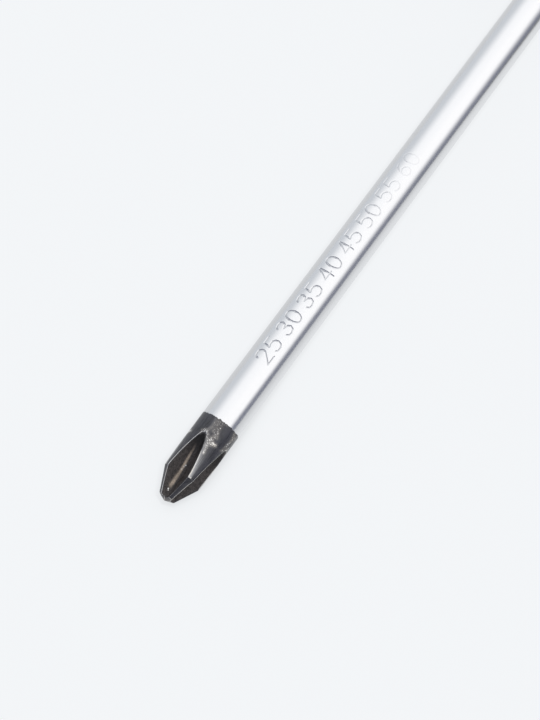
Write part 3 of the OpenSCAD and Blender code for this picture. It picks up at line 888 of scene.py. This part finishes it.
class SCREWDRIVER_OT_handle(bpy.types.Operator):
    """Makes the turned wooden handle with its grip flutes and its hexagon hole"""

    bl_idname = "screwdriver.handle"
    bl_label = "Handle"

    @staticmethod
    def fall(radius, distance):
        """Fall of an arc at a distance from its crown."""
        return radius - np.sqrt(np.maximum(radius * radius - distance * distance, 0.0))

    @classmethod
    def swell(cls, distance, reach, drop):
        """Fall from a crown to a hollow along two equal arcs that meet half way."""
        radius = (reach * reach + drop * drop) / (4.0 * drop)
        near, far = cls.fall(radius, distance), drop - cls.fall(radius, reach - distance)
        return np.where(distance < reach / 2.0, near, far)

    @classmethod
    def outline(cls, s, d, size):
        """Radius of the wood at a distance d from the ferrule: arcs over finger stop, waist and belly."""
        def through(distance, drop):
            """Radius of the arc that falls by drop over a distance."""
            return (distance * distance + drop * drop) / (2.0 * drop)
        nose = s.stop_r - cls.fall(through(s.stop_at, s.stop_r - s.ferrule_rear), s.stop_at - d)
        stop = s.stop_r - cls.swell(d - s.stop_at, s.waist_at - s.stop_at, s.stop_r - s.waist_r)
        front = s.belly_r - cls.swell(s.belly_at - d, s.belly_at - s.waist_at, s.belly_r - s.waist_r)
        rear = s.belly_r - cls.fall(through(size - s.belly_at, s.belly_r - s.butt_r), d - s.belly_at)
        return np.select([d < s.stop_at, d < s.waist_at, d < s.belly_at], [nose, stop, front], rear)

    @staticmethod
    def grip(s, turn):
        """Radius at which the nearest round cutter, which runs along the axis, meets each turn."""
        away = s.belly_r - s.flute_depth + s.cutter_r
        step = 360.0 / s.flutes
        aside = np.radians(np.abs(np.mod(turn + step / 2.0, step) - step / 2.0))
        room = s.cutter_r**2 - (away * np.sin(aside)) ** 2
        return np.where(room > 0.0, away * np.cos(aside) - np.sqrt(np.maximum(room, 0.0)), np.inf)

    def execute(self, context):
        # The radius is the smaller of the outline, round at the butt, and the grip cutters, blended.
        s = values_of(context.scene.screwdriver_handle)
        shoulder, end = FERRULE_X[1], HANDLE_X[1]
        size = end - shoulder
        turn = np.linspace(0.0, 360.0, 288, endpoint=False)[None, :]
        d = np.linspace(0.0, size - s.butt_edge, 150)[:, None]
        body = self.outline(s, d, size)
        bow = np.radians(np.linspace(0.0, 90.0, 10))[1:, None]
        edge_d = size - s.butt_edge * (1.0 - np.sin(bow))
        edge_r = body[-1:] - s.butt_edge * (1.0 - np.cos(bow))
        d, body = np.concatenate([d, edge_d]), np.concatenate([body, edge_r])
        side = smooth_min(body, self.grip(s, turn), 0.45)
        hole = hexagon(s.tang_hole, turn)
        nose_x, wall = HANDLE_X[0], s.ferrule_wall + SLIDE_FIT
        slope = (s.ferrule_rear - s.ferrule_front) / (FERRULE_X[1] - FERRULE_X[0])
        nose_r = s.ferrule_front + slope * (nose_x - FERRULE_X[0]) - wall
        ones = np.ones_like(turn)
        points = np.concatenate([
            around(nose_x, hole, turn), around(nose_x, nose_r * ones, turn),
            around(shoulder, (s.ferrule_rear - wall) * ones, turn), around(shoulder + d, side, turn),
            around(end, hole, turn),
        ])
        piece = skin("handle_turned", points, ring=True)
        finish_piece(piece, wood_material(s), "handle")
        return {"FINISHED"}


class SCREWDRIVER_OT_cap(bpy.types.Operator):
    """Makes the striking cap: backing plate, three leather discs and the rove"""

    bl_idname = "screwdriver.cap"
    bl_label = "Striking cap"

    @staticmethod
    def disc(place, hole, rim, edge, seat=None, seed=0.0, uneven=0.0):
        """Closed outline of a disc with round edges, turned on the axis, and a field that is 1 on its rim.

        The rim wanders by a sum of three waves. A seat is a counterbore in the rear face.
        """
        low, high = place
        turn = np.linspace(0.0, 360.0, 180, endpoint=False)[None, :]
        bow = np.radians(np.linspace(-90.0, 0.0, 8))
        front_x, front_r = low + edge * (1.0 + np.sin(bow)), rim - edge * (1.0 - np.cos(bow))
        middle_x = np.linspace(low + edge, high - edge, 8)[1:-1]
        rim_x = np.concatenate([front_x, middle_x, low + high - front_x[::-1]])
        rim_r = np.concatenate([front_r, np.full_like(middle_x, rim), front_r[::-1]])
        face_r = rim - edge - 0.6
        rear = [(high, face_r), (high, hole)]
        if seat:
            seat_r, seat_x = seat
            rear[1:] = [(high, seat_r + 0.25), (high - 0.25, seat_r), (seat_x, seat_r), (seat_x, hole)]
        rear_x, rear_r = zip(*rear)
        x = np.concatenate([[low, low], rim_x, rear_x])[:, None]
        r = np.concatenate([[hole, face_r], rim_r, rear_r])[:, None]

        def on_rim(values):
            """Values on the rim, and 0 on both faces."""
            return np.pad(values, (2, len(rear)))[:, None]

        a = np.radians(turn)
        wave = np.sin(3 * a + seed) + 0.7 * np.sin(7 * a + 2.3 * seed) + 0.5 * np.sin(13 * a + 4.1 * seed)
        points = around(x, r - uneven * (1.0 + 0.45 * wave) * on_rim(np.ones_like(rim_x)), turn)
        return points, {"edge": on_rim(np.clip((rim_r - rim + edge) / edge, 0.0, 1.0))}

    def execute(self, context):
        s = values_of(context.scene.screwdriver_cap)
        rivet_r = values_of(context.scene.screwdriver_blade).rivet_r
        tight, loose = rivet_r + PRESS_FIT, rivet_r + SLIDE_FIT
        points, fields = self.disc(PLATE_X, tight, PLATE_R, 0.25)
        piece = skin("backing_plate_turned", points, ring=True, fields=fields)
        steel = turned_metal("plate_steel", s.steel, 0.28, 0.42, 0.3)
        finish_piece(piece, steel, "backing_plate")
        leather = leather_material(s)
        for part, place, seat, seed in (
            ("inner", INNER_X, None, 0.4), ("middle", MIDDLE_X, None, 2.1),
            ("outer", OUTER_X, (ROVE_R + SLIDE_FIT, ROVE_X[0]), 3.7),
        ):
            points, fields = self.disc(place, loose, LEATHER_R, 0.7, seat, seed, 0.06)
            piece = skin("leather_" + part + "_cut", points, ring=True, fields=fields)
            finish_piece(piece, leather, "leather_disc_" + part)
        points, fields = self.disc(ROVE_X, tight, ROVE_R, 0.3)
        piece = skin("rove_bright", points, ring=True, fields=fields)
        steel = turned_metal("rove_steel", s.steel, 0.24, 0.36, 0.2)
        finish_piece(piece, steel, "rove")
        return {"FINISHED"}


class SCREWDRIVER_OT_stage(bpy.types.Operator):
    """Makes the floor, the soft light round the tool and the camera"""

    bl_idname = "screwdriver.stage"
    bl_label = "Stage"

    # Colours of the light: on the left and right of the tool, at the left horizon, and in the dark band.
    LEFT_LIGHT = (1.17, 1.18, 1.20)
    RIGHT_LIGHT = (1.23, 1.23, 1.24)
    SKYLINE = (0.70, 0.735, 0.78)
    DARK_BAND = (0.150, 0.165, 0.228)

    @staticmethod
    def floor_mesh(s):
        """A wide plane that falls along X by the lean and lies just under the edge on which the tip rests."""
        reach, clear = 12.0, 0.00002
        side = np.linspace(-reach, reach, 25)
        x, y = np.meshgrid(side, side, indexing="ij")
        slope = math.tan(math.radians(s.lean))
        z = -s.rest_r * MM - slope * (x - (TIP_X + s.rest_at) * MM) - clear
        points = np.stack([x, y, z], axis=-1)
        index = np.arange(x.size).reshape(x.shape)
        quads = np.stack([index[:-1, :-1], index[1:, :-1], index[1:, 1:], index[:-1, 1:]], axis=-1)
        mesh = bpy.data.meshes.new("floor")
        mesh.from_pydata(points.reshape(-1, 3).tolist(), [], quads.reshape(-1, 4).tolist())
        return mesh

    @staticmethod
    def mirrored_in(tree, path):
        """1 for rays that come by way of metal or glass."""
        return most(tree, path["Is Glossy Ray"], path["Is Transmission Ray"])

    @staticmethod
    def level_seen(tree, x, y, z):
        """Painted shadow on the floor, as the camera sees it: full level in the open, lower close to the tool
        and under the shank.

        Close to the tool it follows how much of the room above is covered, upright and leaning. Under the
        shank it follows the distance off a line below the axis, which grows past both ends of the shank.
        """
        full, dark, lean = 1.048, 0.975, 0.21
        dark_at, full_at = 0.0029, 0.00395
        leaning = {"Distance": 0.003, "Normal": (0.0, 0.64, 0.77)}
        beside = add(tree, "ShaderNodeAmbientOcclusion", leaning, samples=16).outputs["AO"]
        under = add(tree, "ShaderNodeAmbientOcclusion", {"Distance": 0.0022}, samples=16).outputs["AO"]
        beside, under = between(tree, beside, 0.0, 1.0, 0.92, 1.0), between(tree, under, 0.0, 1.0, 0.82, 1.0)
        # Painted shadow: a soft dark strip along a line below the shank's axis.
        off = calc(tree, "ABSOLUTE", plus(tree, y, times(tree, z, lean)))
        for ahead, steep in ((4.4, 0.5), (0.4, 2.0)):
            past = most(tree, minus(tree, (TIP_X + ahead) * MM, x), 0.0)
            off = plus(tree, off, times(tree, past, steep))
        off = plus(tree, off, most(tree, x, 0.0))
        return times(tree, beside, under, between(tree, off, full_at, dark_at, full, dark))

    @staticmethod
    def level_mirrored(tree, x, y, z):
        """Painted reflection: level of the floor as the metal alone sees it, full below, and lower towards
        the horizon on both sides.

        slant is the fall of the floor below the axis, and run the way along it, each for one step aside. On
        the right a dark line goes on from the dark band of the light, and gets wider up the shank.
        """
        slant, run = over(tree, z, y), over(tree, x, y)
        right, left = calc(tree, "GREATER_THAN", slant, 0.0), calc(tree, "LESS_THAN", slant, 0.0)
        near = times(tree, between(tree, slant, 0.55, 0.0, 0.0, 0.22), right)
        far = times(tree, between(tree, slant, -1.6, 0.0, 0.0, 0.20), left)
        width = between(tree, run, -0.22, -0.42, 0.02, 0.21)
        line = times(tree, between(tree, over(tree, slant, width), 1.25, 0.75, 0.0, 0.57), right)
        # Painted reflection: the floor is darker here only where the metal sees it.
        return minus(tree, 1.01, near, far, line)

    @classmethod
    def floor_material(cls, s):
        """Pale matt floor, washed with its own colour where the camera or the metal sees it, under a painted
        shadow round the tool and with a painted reflection in the metal.
        """
        material, tree, shader = start_material("floor_pale")
        matt = {"Base Color": (*dim(s.ground, 0.80), 1.0), "Roughness": 0.9, "Specular IOR Level": 0.1}
        feed(tree, shader, matt)
        path = add(tree, "ShaderNodeLightPath").outputs
        seen = most(tree, path["Is Camera Ray"], cls.mirrored_in(tree, path))
        place = add(tree, "ShaderNodeSeparateXYZ", {0: place_of(tree)}).outputs
        painted_shadow_level, painted_reflection_level = cls.level_seen(tree, *place), cls.level_mirrored(tree, *place)
        level = blend_value(tree, path["Is Camera Ray"], painted_reflection_level, painted_shadow_level)
        glow = add(tree, "ShaderNodeEmission", {"Color": (*s.ground, 1.0), "Strength": level})
        sockets = {0: times(tree, seen, s.wash), 1: shader.outputs[0], 2: glow.outputs[0]}
        mixed = add(tree, "ShaderNodeMixShader", sockets)
        tree.links.new(mixed.outputs[0], tree.nodes["Material Output"].inputs[0])
        return material

    @classmethod
    def soft_light(cls, s):
        """Light from all round, dimmer towards the left horizon, with a dark band above the right one.

        turn is a ray's angle about the axis from the top of the light, to the right, in radians. Two dark
        cards stand on the left, before and behind the tool. The camera sees the floor's colour instead, and
        so does metal at the horizon, away from the band.
        """
        world = bpy.data.worlds.new("soft_light")
        world.use_nodes = True
        tree = world.node_tree
        ray = add(tree, "ShaderNodeTexCoord").outputs["Generated"]
        above = vector(tree, "DOT_PRODUCT", {0: ray, 1: (0.0, -0.205, 0.979)})[1]
        aside = vector(tree, "DOT_PRODUCT", {0: ray, 1: (0.0, -0.979, -0.205)})[1]
        turn = calc(tree, "ARCTAN2", aside, above)
        along, _, upward = add(tree, "ShaderNodeSeparateXYZ", {0: ray}).outputs
        skewed = minus(tree, turn, times(tree, minus(tree, along, 0.17), 0.42))
        start = minus(tree, 0.94, times(tree, along, 1.05))
        band = times(tree, between(tree, skewed, start, 1.08), between(tree, skewed, 1.52, 1.42))
        ends = calc(tree, "ADD", between(tree, along, 0.60, 0.72), between(tree, along, -0.12, -0.35), True)
        card = times(tree, between(tree, turn, -1.40, -1.15), between(tree, turn, -0.70, -0.95))
        band = most(tree, band, times(tree, card, ends))
        lit = blend(tree, between(tree, turn, -0.45, 0.20), cls.LEFT_LIGHT, cls.RIGHT_LIGHT)
        open_sky = times(tree, between(tree, turn, -1.50, -0.50), between(tree, above, 0.05, 0.35))
        lit = blend(tree, open_sky, cls.SKYLINE, lit)
        lit = blend(tree, times(tree, band, 0.92), lit, cls.DARK_BAND)
        path = add(tree, "ShaderNodeLightPath").outputs
        low = calc(tree, "SUBTRACT", between(tree, upward, 0.06, 0.0), band, True)
        mirrored = times(tree, cls.mirrored_in(tree, path), low, between(tree, turn, -0.6, -0.2))
        seen = most(tree, path["Is Camera Ray"], mirrored)
        lit = add(tree, "ShaderNodeBackground", {"Color": lit, "Strength": 1.0})
        plain = add(tree, "ShaderNodeBackground", {"Color": (*s.ground, 1.0), "Strength": 1.0})
        mixed = add(tree, "ShaderNodeMixShader", {0: seen, 1: lit.outputs[0], 2: plain.outputs[0]})
        tree.links.new(mixed.outputs[0], tree.nodes["World Output"].inputs["Surface"])
        return world

    @staticmethod
    def camera(s):
        """The camera, set by its place, elevation and azimuth."""
        lens = bpy.data.cameras.new("camera")
        lens.lens = s.lens
        lens.sensor_width = 36.0
        lens.clip_start = 0.01
        camera = bpy.data.objects.new("camera", lens)
        camera.location = s.place
        camera.rotation_euler = (math.radians(90.0 - s.elevation), 0.0, math.radians(s.azimuth))
        return camera

    def execute(self, context):
        s = values_of(context.scene.screwdriver_stage)
        floor = bpy.data.objects.new("floor", self.floor_mesh(s))
        floor.data.materials.append(self.floor_material(s))
        context.scene.collection.objects.link(floor)
        context.scene.world = self.soft_light(s)
        camera = self.camera(s)
        context.scene.collection.objects.link(camera)
        context.scene.camera = camera
        context.scene.view_settings.view_transform = "Standard"
        return {"FINISHED"}


class SCREWDRIVER_PT_panel(bpy.types.Panel):
    """Lists the pieces of the screwdriver"""

    bl_idname = "SCREWDRIVER_PT_panel"
    bl_label = "Screwdriver"
    bl_space_type = "VIEW_3D"
    bl_region_type = "UI"
    bl_category = "Screwdriver"

    def draw(self, context):
        for kind in PIECES:
            self.layout.operator(kind.bl_idname)
        for group in GROUPS:
            box = self.layout.box()
            settings = getattr(context.scene, group)
            for name in settings.bl_rna.properties.keys():
                if name not in {"rna_type", "name"}:
                    box.prop(settings, name)


GROUPS = {
    "screwdriver_blade": BladeSettings,
    "screwdriver_handle": HandleSettings,
    "screwdriver_cap": CapSettings,
    "screwdriver_stage": StageSettings,
}
PIECES = (
    SCREWDRIVER_OT_blade,
    SCREWDRIVER_OT_bolster,
    SCREWDRIVER_OT_ferrule,
    SCREWDRIVER_OT_handle,
    SCREWDRIVER_OT_cap,
    SCREWDRIVER_OT_stage,
)


def register():
    for kind in (*GROUPS.values(), *PIECES, SCREWDRIVER_PT_panel):
        bpy.utils.register_class(kind)
    for name, kind in GROUPS.items():
        setattr(bpy.types.Scene, name, PointerProperty(type=kind))


def unregister():
    for name in GROUPS:
        delattr(bpy.types.Scene, name)
    for kind in (SCREWDRIVER_PT_panel, *reversed(PIECES), *reversed(GROUPS.values())):
        bpy.utils.unregister_class(kind)


def main():
    register()
    bpy.ops.screwdriver.stage()
    bpy.ops.screwdriver.blade()
    bpy.ops.screwdriver.bolster()
    bpy.ops.screwdriver.ferrule()
    bpy.ops.screwdriver.handle()
    bpy.ops.screwdriver.cap()


if __name__ == "__main__":
    main()
